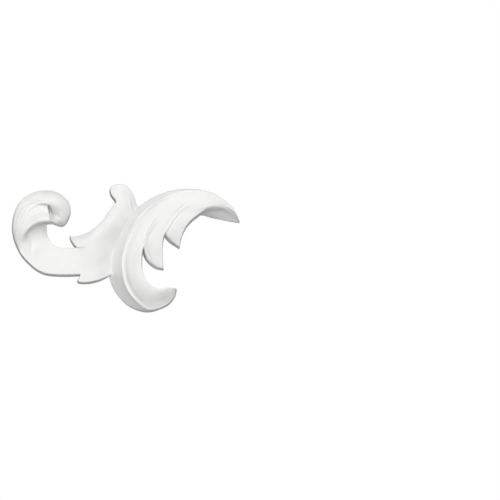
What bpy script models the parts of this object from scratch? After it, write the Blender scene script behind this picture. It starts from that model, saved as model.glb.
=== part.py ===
"""Moulding end ornament: one cast scroll with a flat back, carved only on the face.

The relief is a height over the flat back. It is worked out lobe by lobe, from lines and
cross-sections, and the highest lobe at each place is the one that shows.
Places are in hundredths of the ornament's length and heights are shares of its relief.
X is to the right, Z is up, and the face looks along -Y from the back plane y = 0.
"""
import math

import bmesh
import bpy
import numpy as np

# Driving dimensions, in metres unless the name says otherwise
LENGTH = 0.182
RELIEF = 0.022
DRAFT_DEGREES = 2.0
RIM_RADIUS = 0.00064
FINGER_RIM_RADIUS = 0.00046
BEAD_HEIGHT = 0.0009
BEAD_WIDTH = 0.0009
GROOVE_DEPTH = 0.0010
GROOVE_WIDTH = 0.0015
GROOVE_OFFSET = 0.0027
LEAF_STEP = 0.0016
EYE_DENT = 0.0008
FINGER_BLEND = 0.0008
CREASE_BLEND = 0.0009
VALLEY_CUT = 0.0006
HOLLOW_BLEND = 0.0013
GRID = 0.0004
FACES = 9300

UNIT = LENGTH / 100
DEEP = RELIEF / UNIT
DRAFT = math.tan(math.radians(DRAFT_DEGREES))

# C-scroll: outer edge, bead and inner edge, from the blunt lower end round to the pointed tip
C_OUTER = [
    (0, 25.9, -18.1), (1, 24.9, -21.2), (2, 21.4, -25), (3, 13.3, -27.7), (4, 5.2, -25.3), (5, -.8, -19.3),
    (6, -4, -11.5), (7, -4, -3), (8, -1, 6.5), (9, 4.61, 14.49), (10, 11.5, 20.45), (11, 20.52, 24.79),
    (12, 30.01, 26.37), (13, 39.64, 25.12), (14, 46.34, 21.74), (15, 50.78, 17.64), (16, 53.49, 12.35),
]
C_BEAD = [
    (0, 25.69, -17.84), (1, 24.35, -21.2), (2, 20.87, -24.86), (3, 13.73, -27), (4, 7.43, -22.82),
    (5, 3.65, -17.59), (6, 1.79, -11.08), (7, 1.68, -4.17), (8, 3.8, 3.99), (9, 8.07, 12.55),
    (10, 13.8, 18.3), (11, 21.39, 22.78), (12, 30.08, 24.8), (13, 39.33, 24.15), (14, 46, 20.99),
    (15, 50.65, 17.21), (16, 53.38, 12.27),
]
C_INNER = [
    (0, 25.56, -17.32), (1, 22, -17.12), (2, 17.68, -17.56), (3, 14.17, -15.85), (4, 11.86, -12.87),
    (5, 10.94, -9.76), (6, 10.67, -6.2), (7, 11, -2), (8, 12.6, 3), (9, 18, 7.6), (10, 24, 10.5),
    (11, 29, 12.8), (12, 34.3, 13.8), (13, 40.3, 17.6), (14, 45.5, 18), (15, 50, 16.1), (16, 53.3, 12.1),
]
C_ACROSS = (0, .3, .7, 1, 1.25, 1.5, 1.75, 1.9, 2)
C_LOFT = [
    (0, .5, .56, .61, .65, .71, .77, .82, .83, .81),
    (1, .42, .48, .54, .59, .68, .77, .83, .85, .83),
    (2, .27, .32, .37, .42, .54, .7, .82, .85, .81),
    (3, .23, .3, .38, .46, .6, .77, .89, .92, .88),
    (5, .08, .22, .44, .61, .78, .9, .96, .97, .94),
    (7, .06, .22, .46, .65, .79, .88, .95, .97, .94),
    (9, .4, .5, .64, .75, .8, .87, .87, .82, .75),
    (10, .64, .71, .8, .86, .89, .9, .88, .8, .73),
    (11, .76, .81, .87, .91, .92, .92, .89, .8, .72),
    (12, .78, .82, .87, .89, .91, .94, .92, .87, .82),
    (13, .74, .79, .83, .84, .86, .88, .89, .87, .84),
    (14, .62, .67, .71, .72, .74, .76, .76, .74, .72),
    (15, .42, .5, .54, .55, .56, .57, .57, .55, .53),
    (16, .24, .26, .28, .28, .28, .28, .28, .27, .26),
]
BEAD_SPAN = (2.7, 12.2)

# The two fingers that hang into the mouth of the scroll, from root to tip
FINGER_ACROSS = (0, .1, .3, .65, 1)
FIRST_LEFT = [
    (0, 20.02, 16.99), (1, 15.2, 11.5), (2, 12.2, 5.8), (3, 10.8, 1), (4, 11.2, -2.7), (5, 12.8, -5.75),
    (6, 16.1, -8.4), (7, 19.7, -9.3),
]
FIRST_RIGHT = [
    (0, 30, 17), (1, 25, 11), (2, 21.4, 7), (3, 20, 4), (4, 19.7, 0), (5, 19.77, -4), (6, 19.97, -7.5),
    (7, 20.07, -8.9),
]
FIRST_LOFT = [
    (0, .8, .82, .84, .84, .8),
    (1, .93, .95, .92, .9, .84),
    (2, .93, .95, .91, .88, .83),
    (3, .85, .89, .87, .84, .78),
    (4, .64, .71, .76, .76, .71),
    (5, .5, .58, .65, .66, .62),
    (6, .42, .49, .55, .57, .54),
    (7, .36, .42, .47, .49, .47),
]
SECOND_LEFT = [
    (0, 34.13, 21.82), (1, 28.51, 17.87), (2, 24, 13.6), (3, 21.2, 9.2), (4, 20.3, 5.9), (5, 22.4, 3),
    (6, 26.6, .25),
]
SECOND_RIGHT = [
    (0, 40, 18), (1, 36.2, 15), (2, 32.6, 12.3), (3, 29.8, 9), (4, 28.3, 5.8), (5, 27.5, 3.2),
    (6, 27.1, .6),
]
SECOND_LOFT = [
    (0, .76, .78, .8, .8, .78),
    (1, .85, .88, .89, .88, .84),
    (2, .82, .89, .91, .9, .86),
    (3, .72, .84, .87, .86, .82),
    (4, .62, .76, .8, .78, .75),
    (5, .46, .6, .68, .68, .65),
    (6, .38, .48, .56, .56, .54),
]

# Hollow underside of the pointed tip, from behind its lip down to its straight foot
TIP_TOP = [
    (0, 30, 15), (1, 35, 17.3), (2, 40, 19.4), (3, 45, 19.5), (4, 49.5, 17.4), (5, 53.3, 12.5),
]
TIP_FOOT = [(0, 32, 13), (1, 35.8, 14.7), (2, 40, 14.1), (3, 45, 13.2), (4, 49.5, 12.3), (5, 53.3, 11.7)]
TIP_ACROSS = (0, .28, .5, .75, 1)
TIP_LOFT = [
    (0, .94, .88, .68, .4, .06),
    (2, .92, .86, .64, .35, .06),
    (3, .84, .71, .46, .25, .06),
    (4, .56, .46, .32, .19, .07),
    (5, .2, .17, .14, .1, .08),
]

# Stem, middle leaf, thumb and lower lobe: the outline in runs that meet in corners, and the skin over it
BODY_OUTLINE = [
    [(-44.6, 2.5), (-43.1, -2), (-40.3, -5.6), (-37.1, -8.7), (-34, -10.7), (-30.9, -11.7),
     (-26.3, -12.1), (-20.1, -12.1), (-16.9, -11.9)],
    [(-16.9, -11.9), (-17.9, -14), (-17.6, -14.9), (-16.5, -15.3), (-13.1, -15.3), (-10.2, -14.8),
     (-7.5, -13.9), (-4.2, -12.2), (0, -9)],
    [(0, -9), (3, -2), (5, 6), (8.9, 14), (9.16, 18.29)],
    [(9.16, 18.29), (8.05, 19.84), (7.47, 21.96), (6.74, 23.83), (5.8, 25.58), (4.69, 27.01),
     (3.46, 28.01), (1.56, 28.49), (-.36, 28.48), (-2.22, 28.05), (-3.4, 27.1), (-3.85, 25.8),
     (-3.8, 24.6), (-3.3, 23.4), (-2.5, 22.1), (-1.7, 21.2), (-1.4, 20.2)],
    [(-1.4, 20.2), (-2.6, 18.6), (-4.3, 16.3), (-5.7, 14.2), (-7.17, 12.27), (-10.12, 9.3), (-13, 7.51),
     (-16.63, 5.96), (-19.59, 5.39), (-21.13, 5.96)],
    [(-21.13, 5.96), (-21.3, 4.8), (-20.6, 3), (-19.7, 1.5), (-18.7, .38)],
    [(-18.7, .38), (-22.02, .39), (-25.48, .6), (-28.11, 1.72), (-29.87, 3.98), (-31.08, 6.58),
     (-31.23, 9), (-32.06, 12.94)],
    [(-32.06, 12.94), (-36.98, 13.93), (-42, 10), (-44.6, 2.5)],
]
STEM_SKIN = [
    (-43, 0, .5), (-38, -6.5, .55), (-33, -9.5, .58), (-26, -11, .6), (-19, -10.5, .6), (-42, 4, .48),
    (-41.2, 1, .5), (-41, -2, .5), (-38, 2, .22), (-38, -1.5, .32), (-38.2, -4, .46), (-35, 1, .28),
    (-35, -4, .5), (-32, -4, .53), (-25, -5, .57), (-18, -4, .59), (-18, 0, .57), (-35, 7, .15),
    (-31.5, 8, .16), (-30, 3, .37), (-26, 1, .45), (-38, 11, .12),
]
LEAF_SKIN = [
    (-12, -5, .61), (-12, 2, .67), (-11.5, 6, .66), (-21, 5.4, .3), (-16, 6.1, .46), (-12, 8.1, .52),
    (-16, 3.6, .63), (-19.5, 3.4, .52), (-7, -4, .49), (-6, 3, .52), (-7, 8, .64), (-7.5, 11.4, .6),
    (-4, -2, .33), (-2.5, 4, .4), (-.5, 9, .55), (1, 13, .58), (-3, 14, .66), (-4.2, 15.6, .6), (0, 17, .64),
    (-1.5, 19, .6), (3, 10, .41), (2, 4, .06), (0, -2, -.08), (4, 0, -.4), (-5, -6, .3), (-1, -7, -.08),
    (5, 14, .51),
]
THUMB_SKIN = [
    (5, 17, .56), (1, 20, .64), (1.5, 25, .61), (-2.5, 25, .61), (6, 22, .5), (1, 28, .56), (7.5, 19, .43),
    (4.5, 27, .5), (-2.5, 27.5, .54),
]
LOBE_SKIN = [
    (-16.5, -14, .56), (-11, -13, .57), (-8, -12, .51), (-5, -12, .38), (-12, -9, .57),
]
LEAF_EDGE = [(-21.3, 4.8), (-20.6, 2.6), (-19.7, 1.1), (-18.3, .1), (-16.7, 0), (-13, .1)]

# Hood of the volute: outer edge, lip, and the line in the hollow where its underside ends
HOOD_OUTER = [
    (0, -38.8, -7.2), (1, -42, -3.8), (2, -44.4, .5), (3, -46, 5), (4, -46.5, 10.5), (5, -45, 17.5),
    (6, -41.43, 22.32), (7, -36.27, 24.95), (8, -33.9, 25.3), (9, -31.9, 25.5),
]
HOOD_LIP = [
    (0, -37.78, -5.65), (1, -40.82, -1.66), (2, -41.5, 2), (3, -40.9, 5), (4, -39.4, 7.5), (5, -37, 9.6),
    (6, -34.5, 10.7), (7, -32.2, 11.1), (8, -30, 11.2), (9, -28.1, 11.3),
]
HOOD_UNDER = [
    (0, -36.4, -4.2), (1, -38.2, -.6), (2, -38.2, 1.9), (3, -38.8, 3.8), (4, -38.3, 6.2), (5, -36, 8),
    (6, -34.1, 8.5), (7, -32.4, 8.7), (8, -30.8, 9.3), (9, -29, 10.4),
]
HOOD_ACROSS = (0, .25, .5, .65, .82, .93, 1, 1.15, 1.5, 2)
HOOD_LOFT = [
    (0, .34, .38, .41, .43, .43, .43, .42, .41, .38, .33),
    (1, .38, .43, .46, .47, .48, .48, .47, .45, .4, .33),
    (2, .44, .52, .56, .57, .57, .55, .52, .48, .38, .27),
    (3, .49, .62, .7, .73, .74, .72, .67, .56, .34, .16),
    (4, .52, .67, .77, .82, .87, .87, .81, .66, .36, .1),
    (5, .55, .7, .77, .79, .88, .91, .86, .7, .36, .07),
    (6, .6, .74, .76, .77, .9, .93, .88, .7, .34, .05),
    (7, .64, .77, .76, .75, .88, .91, .87, .66, .28, .05),
    (8, .64, .74, .71, .7, .84, .88, .84, .64, .3, .08),
    (9, .6, .64, .64, .66, .78, .83, .79, .6, .32, .12),
]

# Bulb that ends the volute: outer edge, and the crease it curls in to
BULB_OUTER = [
    (0, -44.39, 18.99), (1, -41.11, 22.58), (2, -36.09, 25.01), (3, -29.45, 25.44), (4, -25.07, 23.84),
    (5, -21.48, 20.27), (6, -20.8, 15.5), (7, -22.6, 11.2), (8, -24.6, 9.8), (9, -26.4, 10.2),
]
BULB_CREASE = [
    (0, -41.15, 15.96), (1, -38.75, 17.3), (2, -35.2, 18.4), (3, -31.4, 18.4), (4, -29.9, 17.6),
    (5, -29.5, 16.4), (6, -29.4, 15.1), (7, -29.6, 13.7), (8, -29.5, 12.5), (9, -29.3, 11.5),
]
BULB_ACROSS = (0, .25, .5, .75, .9, 1)
BULB_LOFT = [
    (0, .4, .48, .5, .46, .4, .36),
    (1, .46, .64, .71, .69, .64, .6),
    (2, .54, .72, .8, .82, .8, .76),
    (3, .58, .75, .84, .88, .87, .82),
    (4, .56, .74, .84, .87, .82, .75),
    (5, .5, .69, .8, .78, .69, .57),
    (6, .4, .57, .66, .61, .5, .39),
    (7, .27, .45, .54, .48, .39, .29),
    (8, .17, .33, .44, .4, .35, .29),
    (9, .13, .25, .35, .35, .33, .3),
]
BULB_EYE = (-26.3, 13.7, 0.8)
EYE_FLOOR = [[(-33, 13), (-28.8, 11), (-26, 10.4), (-22, 13), (-22, 20), (-28, 24), (-34, 20), (-33, 13)]]
EYE_FLOOR_HEIGHT = .30


def curve(knots, at):
    """Smooth curve through rows of knots whose first column is the place along it."""
    k = np.array(knots, float)
    x, p = k[:, 0], k[:, 1:]
    m = np.gradient(p, x, axis=0, edge_order=1)
    at = np.clip(np.asarray(at, float), x[0], x[-1])
    i = np.clip(np.searchsorted(x, at, side="right") - 1, 0, len(x) - 2)
    w = (x[i + 1] - x[i])[..., None]
    u = (at - x[i])[..., None] / w
    return ((2 * u**3 - 3 * u**2 + 1) * p[i] + (u**3 - 2 * u**2 + u) * w * m[i]
            + (3 * u**2 - 2 * u**3) * p[i + 1] + (u**3 - u**2) * w * m[i + 1])


def through(points, spacing=0.4):
    """Smooth line through bare points, placed by the root of their distance."""
    p = np.array(points, float)
    chord = np.maximum(np.hypot(*np.diff(p[:, :2], axis=0).T), 1e-6)
    at = np.concatenate([[0], np.cumsum(np.sqrt(chord))])
    n = max(int(chord.sum() / spacing), 2)
    return curve(np.column_stack([at, p]), np.linspace(0, at[-1], n))


def closed(runs):
    """Closed outline from smooth runs that meet in corners."""
    return np.vstack([through(run)[:-1] for run in runs])


def profile(places, values, t):
    """Curve through values at their places that never overshoots them."""
    x, y = np.array(places, float), np.array(values, float)
    d = np.diff(y) / np.diff(x)
    m = np.zeros_like(y)
    m[0], m[-1] = d[0], d[-1]
    same = d[:-1] * d[1:] > 0
    m[1:-1][same] = 2 * d[:-1][same] * d[1:][same] / (d[:-1] + d[1:])[same]
    t = np.clip(t, x[0], x[-1])
    i = np.clip(np.searchsorted(x, t, side="right") - 1, 0, len(x) - 2)
    w = x[i + 1] - x[i]
    u = (t - x[i]) / w
    return ((2 * u**3 - 3 * u**2 + 1) * y[i] + (u**3 - 2 * u**2 + u) * w * m[i]
            + (3 * u**2 - 2 * u**3) * y[i + 1] + (u**3 - u**2) * w * m[i + 1])


def step(x, low, high):
    """Smooth step from 0 to 1."""
    u = np.clip((x - low) / (high - low), 0, 1)
    return u * u * (3 - 2 * u)


def soft_max(a, b, blend):
    """The greater of two heights, blended where they are close."""
    h = np.clip(blend - np.abs(a - b), 0, None) / blend
    return np.maximum(a, b) + h**2 * blend / 4


def creased(a, b, depth):
    """The greater of two heights, cut in by this depth where they meet."""
    return np.maximum(a, b) - depth * np.clip(1 - np.abs(a - b) / (4 * depth), 0, None)**2


class Sheet:
    """A grid of places over the ornament, x rising along columns and z along rows."""

    def __init__(self, x0, x1, z0, z1, pitch):
        self.x = np.arange(x0, x1 + pitch / 2, pitch)
        self.z = np.arange(z0, z1 + pitch / 2, pitch)
        self.pitch = pitch
        self.X, self.Z = np.meshgrid(self.x, self.z)

    def touched(self, low, high):
        """Pairs of an item and a cell, for every cell within each item's box."""
        wide = int(np.ceil((high - low).max() / self.pitch)) + 2
        span = np.arange(wide)
        col = np.floor((low[:, 0] - self.x[0]) / self.pitch).astype(int)[:, None, None] + span[None, None, :]
        row = np.floor((low[:, 1] - self.z[0]) / self.pitch).astype(int)[:, None, None] + span[None, :, None]
        col, row = np.broadcast_arrays(col, row)
        item = np.broadcast_to(np.arange(len(low))[:, None, None], col.shape)
        fits = (row >= 0) & (row < len(self.z)) & (col >= 0) & (col < len(self.x))
        return item[fits], row[fits], col[fits]

    def inside(self, line):
        """Which places lie inside a closed outline."""
        flips = np.zeros((len(self.z), len(self.x) + 1), int)
        for (ax, az), (bx, bz) in zip(line, np.roll(line, -1, 0)):
            rows = np.where((self.z >= min(az, bz)) & (self.z < max(az, bz)))[0]
            if len(rows):
                cross = ax + (self.z[rows] - az) * (bx - ax) / (bz - az)
                flips[rows, np.searchsorted(self.x, cross)] += 1
        return np.cumsum(flips, 1)[:, :-1] % 2 == 1

    def near(self, line, reach, loop=True):
        """Distance to a line, its side and the place along it, for the cells within reach."""
        a = line[:, :2]
        b = np.roll(a, -1, 0)
        if not loop:
            a, b = a[:-1], b[:-1]
        ab = b - a
        squared = np.maximum((ab**2).sum(1), 1e-12)
        i, row, col = self.touched(np.minimum(a, b) - reach, np.maximum(a, b) + reach)
        px, pz = self.x[col] - a[i, 0], self.z[row] - a[i, 1]
        u = np.clip((px * ab[i, 0] + pz * ab[i, 1]) / squared[i], 0, 1)
        d = np.hypot(px - u * ab[i, 0], pz - u * ab[i, 1])
        turn = ab[i, 0] * pz - ab[i, 1] * px
        nearest_last = np.argsort(-d, kind="stable")
        cell = (row * len(self.x) + col)[nearest_last]
        out = np.full(self.X.size, float(reach))
        out[cell] = d[nearest_last]
        side = np.ones(self.X.size)
        side[cell] = np.where(turn >= 0, 1, -1)[nearest_last]
        place = np.zeros(self.X.size)
        place[cell] = ((i + u) / len(a))[nearest_last]
        shape = self.X.shape
        return np.minimum(out, reach).reshape(shape), side.reshape(shape), place.reshape(shape)


def wall(sheet, face, outline, radius):
    """The face cut to an outline, its rim rounded and a drafted wall below it."""
    reach = DEEP * DRAFT + 0.6
    d, _, _ = sheet.near(outline, reach)
    d = np.where(sheet.inside(outline), d, -d)
    e = d - face * DRAFT
    over = np.sqrt(np.maximum(radius**2 - np.clip(radius - e, 0, radius)**2, 0)) - radius
    height = np.where(e > 0, face + over, face - radius + e / DRAFT)
    return np.where(d <= -reach + 0.1, -2 * DEEP, np.maximum(height, -2 * DEEP))


def spread(face, pitch, reach=1.8):
    """Carries the face's edge values outwards, so that the wall below the rim is whole."""
    known = ~np.isnan(face)
    face = np.where(known, face, 0.0)
    for _ in range(int(reach / pitch) + 1):
        total = np.zeros(face.shape)
        count = np.zeros(face.shape)
        for way in ((1, 0), (-1, 0), (0, 1), (0, -1)):
            there = np.roll(known, way, (0, 1))
            total += np.where(there, np.roll(face, way, (0, 1)), 0)
            count += there
        fresh = ~known & (count > 0)
        face[fresh] = total[fresh] / count[fresh]
        known |= fresh
    return face


def ribbon(sheet, rails, across, loft, radius, rows=420, columns=22):
    """A strip lofted over rails. Rails have rows of (place along, x, z). Across it the first rail is 0, the
    next 1 and so on, and each row of the loft has the place along and the height at every place across."""
    s = np.linspace(0, loft[-1][0], rows)
    lines = np.array([curve(rail, s) for rail in rails])
    top = len(rails) - 1
    t = np.linspace(0, top, columns * top + 1)
    k = np.minimum(t.astype(int), top - 1)
    f = (t - k)[:, None, None]
    place = lines[k] * (1 - f) + lines[k + 1] * f
    sections = np.array([profile(across, row[1:], t) for row in loft])
    height = curve(np.column_stack([[row[0] for row in loft], sections]), s).T * DEEP
    outline = np.vstack([lines[0][:-1], np.linspace(lines[0][-1], lines[-1][-1], 8)[:-1],
                         lines[-1][::-1][:-1], np.linspace(lines[-1][0], lines[0][0], 8)[:-1]])
    corners = {}
    for i in (0, 1):
        for j in (0, 1):
            cut = (slice(i, place.shape[0] - 1 + i), slice(j, place.shape[1] - 1 + j))
            corners[i, j] = (place[cut].reshape(-1, 2), height[cut].ravel())
    face = np.full(sheet.X.shape, np.nan)
    for three in (((0, 0), (0, 1), (1, 1)), ((0, 0), (1, 1), (1, 0))):
        (q0, h0), (q1, h1), (q2, h2) = (corners[c] for c in three)
        e1, e2 = q1 - q0, q2 - q0
        det = e1[:, 0] * e2[:, 1] - e1[:, 1] * e2[:, 0]
        det = np.where(np.abs(det) < 1e-12, 1e-12, det)
        i, row, col = sheet.touched(np.minimum(np.minimum(q0, q1), q2), np.maximum(np.maximum(q0, q1), q2))
        px, pz = sheet.x[col] - q0[i, 0], sheet.z[row] - q0[i, 1]
        u = (px * e2[i, 1] - pz * e2[i, 0]) / det[i]
        v = (e1[i, 0] * pz - e1[i, 1] * px) / det[i]
        hit = (u >= -1e-6) & (v >= -1e-6) & (u + v <= 1 + 1e-6)
        face[row[hit], col[hit]] = (h0[i] * (1 - u - v) + h1[i] * u + h2[i] * v)[hit]
    return wall(sheet, spread(face, sheet.pitch), outline, radius)


def skin(points, X, Z):
    """Thin-plate surface through (x, z, height) points."""
    p = np.array(points, float)
    n = len(p)

    def kernel(squared):
        return squared * np.log(np.maximum(squared, 1e-9))

    a = np.zeros((n + 3, n + 3))
    a[:n, :n] = kernel((p[:, None, 0] - p[None, :, 0])**2 + (p[:, None, 1] - p[None, :, 1])**2)
    a[:n, n] = 1
    a[:n, n + 1:] = p[:, :2]
    a[n:, :n] = a[:n, n:].T
    w = np.linalg.solve(a, np.concatenate([p[:, 2], [0, 0, 0]]))
    out = w[n] + w[n + 1] * X + w[n + 2] * Z
    for i in range(n):
        out = out + w[i] * kernel((X - p[i, 0])**2 + (Z - p[i, 1])**2)
    return out


def beside(sheet, line, reach):
    """Signed distance from an open line, positive on its left, the place along it, and where that holds."""
    d, side, place = sheet.near(line, reach, loop=False)
    return d * side, place, d < reach * 0.999


def claw(sheet):
    """The C-scroll with its bead and fingers, and the hollow underside of its tip."""
    radius = RIM_RADIUS / UNIT
    body = ribbon(sheet, [C_OUTER, C_BEAD, C_INNER], C_ACROSS, C_LOFT, radius)
    n, place, held = beside(sheet, curve(C_BEAD, np.linspace(*BEAD_SPAN, 300)), 3)
    fade = step(place, 0, .25) * (1 - step(place, .52, .86))
    bead = BEAD_HEIGHT * np.exp(-(n * UNIT / BEAD_WIDTH)**2)
    groove = GROOVE_DEPTH * np.exp(-((n * UNIT + GROOVE_OFFSET) / GROOVE_WIDTH)**2)
    body = body + np.where(held, (bead - groove) / UNIT * fade, 0)
    radius = FINGER_RIM_RADIUS / UNIT
    first = ribbon(sheet, [FIRST_LEFT, FIRST_RIGHT], FINGER_ACROSS, FIRST_LOFT, radius)
    second = ribbon(sheet, [SECOND_LEFT, SECOND_RIGHT], FINGER_ACROSS, SECOND_LOFT, radius)
    tip = ribbon(sheet, [TIP_TOP, TIP_FOOT], TIP_ACROSS, TIP_LOFT, radius / 2)
    blend = FINGER_BLEND / UNIT
    return np.maximum(soft_max(soft_max(body, first, blend), second, blend), tip)


def middle(sheet):
    """Stem, middle leaf, thumb and lower lobe, with the leaf's thin edge lying over the stem."""
    n, place, held = beside(sheet, through(LEAF_EDGE), 6)
    over_stem = step(n, 0, .3) * np.exp(-np.maximum(n, 0) / 4) * (1 - step(place, .45, 1))
    face = skin(STEM_SKIN + LEAF_SKIN + THUMB_SKIN + LOBE_SKIN, sheet.X, sheet.Z) * DEEP
    face = face + np.where(held, LEAF_STEP / UNIT * over_stem, 0)
    return wall(sheet, face, closed(BODY_OUTLINE), RIM_RADIUS / UNIT)


def volute(sheet):
    """The hood, the bulb it ends in, and the floor of the crease between them."""
    radius = RIM_RADIUS / UNIT
    hood = ribbon(sheet, [HOOD_OUTER, HOOD_LIP, HOOD_UNDER], HOOD_ACROSS, HOOD_LOFT, radius)
    bulb = ribbon(sheet, [BULB_OUTER, BULB_CREASE], BULB_ACROSS, BULB_LOFT, radius)
    x, z, wide = BULB_EYE
    bulb = bulb - EYE_DENT / UNIT * np.exp(-((sheet.X - x)**2 + (sheet.Z - z)**2) / wide**2)
    floor = wall(sheet, np.full(sheet.X.shape, EYE_FLOOR_HEIGHT * DEEP), closed(EYE_FLOOR), radius)
    return soft_max(soft_max(hood, bulb, CREASE_BLEND / UNIT), floor, CREASE_BLEND / UNIT)


def relief(pitch):
    """The sheet and the height of the face over it, both in hundredths of the length."""
    sheet = Sheet(-49, 56, -30, 31, pitch)
    lobes = creased(claw(sheet), middle(sheet), VALLEY_CUT / UNIT)
    return sheet, soft_max(lobes, volute(sheet), HOLLOW_BLEND / UNIT)


def face_mesh(name, sheet, height):
    """Open mesh of the face, cut off at the back plane."""
    mesh = bpy.data.meshes.new(name)
    index = np.arange(height.size).reshape(height.shape)
    a, b = slice(None, -1), slice(1, None)
    corners = ((a, a), (a, b), (b, b), (b, a))
    cells = np.array([height[corner] for corner in corners])
    keep = (cells.min(0) > -1.5 * DEEP) & (cells.max(0) > 0)
    quads = np.stack([index[corner][keep] for corner in corners], 1)
    used = np.unique(quads)
    renumber = np.zeros(height.size, int)
    renumber[used] = np.arange(len(used))
    verts = np.column_stack([sheet.X.ravel()[used], -height.ravel()[used], sheet.Z.ravel()[used]]) * UNIT
    mesh.from_pydata(verts.tolist(), [], renumber[quads].tolist())
    bm = bmesh.new()
    bm.from_mesh(mesh)
    bmesh.ops.triangulate(bm, faces=bm.faces)
    geometry = bm.verts[:] + bm.edges[:] + bm.faces[:]
    bmesh.ops.bisect_plane(bm, geom=geometry, dist=1e-6, plane_co=(0, 0, 0), plane_no=(0, 1, 0),
                           clear_outer=True)
    bmesh.ops.triangulate(bm, faces=bm.faces)
    bm.to_mesh(mesh)
    bm.free()
    return mesh


def thinned(obj, faces):
    """Mesh of the object with about this many triangles."""
    lighter = obj.modifiers.new("Lighter", "DECIMATE")
    lighter.ratio = faces / max(len(obj.data.polygons), 1)
    bpy.context.view_layer.update()
    mesh = bpy.data.meshes.new_from_object(obj.evaluated_get(bpy.context.evaluated_depsgraph_get()))
    obj.modifiers.clear()
    return mesh


def close_back(mesh):
    """Lays the open rim on the back plane and closes it with a flat back."""
    bm = bmesh.new()
    bm.from_mesh(mesh)
    for v in bm.verts:
        if v.is_boundary or v.co.y > -1e-5:
            v.co.y = 0
    bmesh.ops.remove_doubles(bm, verts=bm.verts, dist=2e-5)
    bmesh.ops.dissolve_degenerate(bm, edges=bm.edges, dist=1e-6)
    rim = [e for e in bm.edges if e.is_boundary]
    bmesh.ops.triangle_fill(bm, edges=rim, use_beauty=True, use_dissolve=False)
    bmesh.ops.recalc_face_normals(bm, faces=bm.faces)
    bmesh.ops.triangulate(bm, faces=bm.faces)
    bm.to_mesh(mesh)
    bm.free()
    mesh.validate()
    mesh.update()
    return mesh


def plain_material(name, colour, roughness):
    """A plain material of one colour."""
    material = bpy.data.materials.new(name)
    material.use_nodes = True
    shader = material.node_tree.nodes["Principled BSDF"]
    shader.inputs["Base Color"].default_value = (*colour, 1)
    shader.inputs["Roughness"].default_value = roughness
    return material


def build():
    for obj in list(bpy.data.objects):
        bpy.data.objects.remove(obj, do_unlink=True)
    collection = bpy.data.collections.new("moulding_end_ornament")
    bpy.context.scene.collection.children.link(collection)
    sheet, height = relief(GRID / UNIT)
    ornament = bpy.data.objects.new("scroll_ornament", face_mesh("scroll_ornament", sheet, height))
    collection.objects.link(ornament)
    ornament.data = close_back(thinned(ornament, FACES))
    ornament.data.name = "scroll_ornament"
    ornament.data.materials.clear()
    ornament.data.materials.append(plain_material("primed_white", (0.76, 0.76, 0.75), 0.55))


build()
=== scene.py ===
"""Looks of the moulding end ornament: the carved face as a fine mesh, its primed finish, light and camera.

The relief is a height over the flat back, the same one as the solid's, on a finer grid and with fine lines.
Places are in hundredths of the ornament's length and heights are shares of its relief.
"""
import math

import bmesh
import bpy
import numpy as np
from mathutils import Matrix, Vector


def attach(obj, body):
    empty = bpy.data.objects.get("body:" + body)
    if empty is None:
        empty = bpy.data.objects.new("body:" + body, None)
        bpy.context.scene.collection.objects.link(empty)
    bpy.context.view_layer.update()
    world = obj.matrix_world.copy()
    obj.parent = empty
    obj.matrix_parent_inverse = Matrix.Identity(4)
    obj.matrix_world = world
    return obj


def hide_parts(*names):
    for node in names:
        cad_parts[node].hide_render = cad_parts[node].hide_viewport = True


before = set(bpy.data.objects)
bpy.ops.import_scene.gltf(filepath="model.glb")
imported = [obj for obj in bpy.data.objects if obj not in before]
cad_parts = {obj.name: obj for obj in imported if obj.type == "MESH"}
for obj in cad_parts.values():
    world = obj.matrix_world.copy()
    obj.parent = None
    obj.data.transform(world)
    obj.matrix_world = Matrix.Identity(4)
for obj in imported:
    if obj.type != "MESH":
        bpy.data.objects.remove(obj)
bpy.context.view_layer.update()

# Driving dimensions, in metres unless the name says otherwise: the same as the solid's
LENGTH = 0.182
RELIEF = 0.022
DRAFT_DEGREES = 2.0
RIM_RADIUS = 0.00064
FINGER_RIM_RADIUS = 0.00046
BEAD_HEIGHT = 0.0009
BEAD_WIDTH = 0.0009
GROOVE_DEPTH = 0.0010
GROOVE_WIDTH = 0.0015
GROOVE_OFFSET = 0.0027
LEAF_STEP = 0.0016
EYE_DENT = 0.0008
FINGER_BLEND = 0.0008
CREASE_BLEND = 0.0009
VALLEY_CUT = 0.0006
HOLLOW_BLEND = 0.0013

# The fine mesh: its pitch, the triangles it is thinned to, how it is softened and its sharpest smooth angle
PITCH = 0.00028
FACES = 165000
SOFTEN_FACTOR = 0.5
SOFTEN_ROUNDS = 3
SHARP_DEGREES = 50

# Its flat back: the height up to which nothing is softened, the height that still counts as on the back,
# and the length under which an edge is none
FIRM_HEIGHT = 0.0004
ON_BACK = 1e-5
NO_LENGTH = 1e-6

# Undercuts of the fine mesh: how far the hollows go back under the hood's lip and the tip's lip, between
# which rows of the lip, and how far off it they start, in hundredths of the length
HOOD_UNDERCUT = 0.0042
HOOD_UNDERCUT_ROWS = (2.5, 9)
HOOD_UNDERCUT_REACH = 5.0
TIP_UNDERCUT = 0.0018
TIP_UNDERCUT_ROWS = (12, 14.6)
TIP_UNDERCUT_REACH = 4.0

# An undercut is whole where the face is below the first of these shares of the relief, and there is none
# above the second. Across the lip it starts at this share of its reach, is whole from the next place on,
# and fades out between the last two, which lie behind the lip
UNDERCUT_SHARES = (0.3, 0.72)
UNDERCUT_START = 0.95
UNDERCUT_WHOLE = -0.8
UNDERCUT_BEHIND = (1.5, 3)
LIP_POINTS = 200

# Where every fine line and undercut is whole along its run, as shares of it: it fades out on either side
WHOLE_FROM = 0.3
WHOLE_TO = 0.7

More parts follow.
